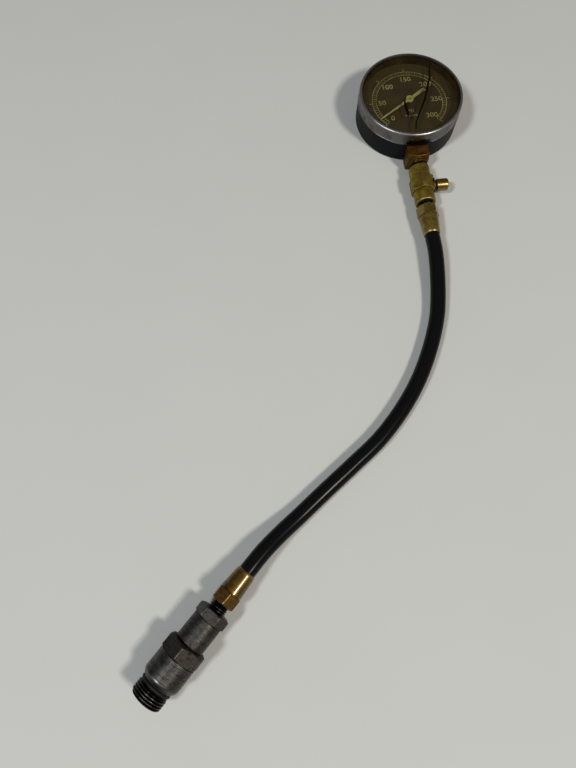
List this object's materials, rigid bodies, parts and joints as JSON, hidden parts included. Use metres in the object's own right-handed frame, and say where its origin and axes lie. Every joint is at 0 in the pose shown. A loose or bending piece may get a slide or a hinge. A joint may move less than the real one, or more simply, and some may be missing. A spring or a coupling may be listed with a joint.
{
  "type": "compression tester",
  "caption": "Engine compression tester: round dial pressure gauge, push-button release valve, rubber hose and stacked spark-plug-hole adapters.",
  "frame": {"origin": "centre of the gauge case's flat back face, on the surface that the tester lies on", "axes": "+Z out of the dial, the stem and hose leave the gauge along -Y, the release button points to +X"},
  "size_m": [0.2308, 0.3893, 0.0246],
  "materials": {
    "case_paint": "dark blue-grey paint, satin",
    "bezel_steel": "dull grey plated steel",
    "dial_glass": "clear, yellowed and cracked",
    "black_rubber": "matt",
    "dial_paint": "dark olive brown, matt",
    "movement_brass": "machined",
    "screw_steel": "dull",
    "pointer_paint": "pale yellow, matt",
    "spring_bronze": "bronze strip",
    "tube_bronze": "drawn bronze tube",
    "block_brass": "orange-brown tarnish",
    "valve_brass": "worn olive brass",
    "button_brass": "worn bright",
    "spindle_steel": "ground",
    "spring_steel": "spring wire",
    "dark_thread": "dark and grimy",
    "coupling_brass": "worn olive brass",
    "hose_rubber": "smooth, satin",
    "adapter_steel": "pitted plating with rust specks",
    "dark_washer": "dark and rusty",
    "plug_steel": "pitted plating, oily thread"
  },
  "bodies": {
    "tester": {"gauge_case": "case_paint", "bezel_ring": "bezel_steel", "dial_glass": "dial_glass", "glass_gasket": "black_rubber", "dial_plate": "dial_paint", "dial_posts": "movement_brass", "dial_screws": "screw_steel", "stop_pin": "movement_brass", "hairspring": "spring_bronze", "hairspring_stud": "movement_brass", "back_plate": "movement_brass", "front_plate": "movement_brass", "pillars": "movement_brass", "pillar_screws": "screw_steel", "movement_screws": "screw_steel", "pressure_tube": "tube_bronze", "stem_block": "block_brass", "case_screws": "screw_steel", "valve_body": "valve_brass", "release_bush": "valve_brass", "release_spring": "spring_steel", "upper_nipple": "dark_thread", "upper_nut": "coupling_brass", "upper_ferrule": "coupling_brass", "upper_hose_end": "hose_rubber", "hose": "hose_rubber", "lower_hose_end": "hose_rubber", "lower_ferrule": "coupling_brass", "lower_nut": "coupling_brass", "lower_nipple": "dark_thread", "inner_adapter": "adapter_steel", "adapter_washer": "dark_washer", "check_body": "movement_brass", "check_spring": "spring_steel"},
    "pointer": {"pointer": "pointer_paint", "pointer_arbor": "movement_brass"},
    "sector": {"sector_gear": "movement_brass"},
    "link": {"link": "movement_brass"},
    "tube_tip": {"tube_tip": "tube_bronze"},
    "release_button": {"release_button": "button_brass", "release_spindle": "spindle_steel", "release_seal": "black_rubber"},
    "plug_adapter": {"outer_adapter": "plug_steel", "plug_seal": "black_rubber"},
    "check_valve": {"check_pin": "movement_brass", "check_seal": "black_rubber"}
  },
  "joints": [
    {"name": "pointer_spin", "type": "hinge", "parent": "tester", "child": "pointer", "pos_m": [0, 0, 0.0192], "axis": [0, 0, 1], "range_deg": [-270, 0], "stiffness_Nm_per_rad": 0.000002, "springref_deg": 17.19, "deforming": ["hairspring"]},
    {"name": "sector_swing", "type": "hinge", "parent": "tester", "child": "sector", "pos_m": [0.0148, -0.00539, 0.009], "axis": [0, 0, 1], "range_deg": [0, 34]},
    {"name": "link_swing", "type": "hinge", "parent": "sector", "child": "link", "pos_m": [0.02045, -0.00741, 0.01], "axis": [0, 0, 1], "range_deg": [-29, 0]},
    {"name": "tube_flex", "type": "hinge", "parent": "tester", "child": "tube_tip", "pos_m": [-0.0255, 0, 0.0082], "axis": [0, 0, 1], "range_deg": [0, 4.4], "deforming": ["pressure_tube"]},
    {"name": "release_press", "type": "slide", "parent": "tester", "child": "release_button", "axis": [-1, 0, 0], "range_m": [0, 0.0015], "stiffness_N_per_m": 600, "springref_m": -0.003, "deforming": ["release_spring"]},
    {"name": "adapter_turn", "type": "hinge", "parent": "tester", "child": "plug_adapter", "pos_m": [-0.16632, -0.32482, 0.01194], "axis": [-0.7071, -0.7071, 0], "continuous": true},
    {"name": "check_lift", "type": "slide", "parent": "tester", "child": "check_valve", "axis": [0.7071, 0.7071, 0], "range_m": [0, 0.0012], "stiffness_N_per_m": 60, "springref_m": -0.001, "deforming": ["check_spring"]}
  ],
  "couplings": [
    {"joint": "sector_swing", "follows": "pointer_spin", "ratio": -0.125},
    {"joint": "link_swing", "follows": "pointer_spin", "ratio": 0.10654},
    {"joint": "tube_flex", "follows": "pointer_spin", "ratio": -0.016012}
  ]
}
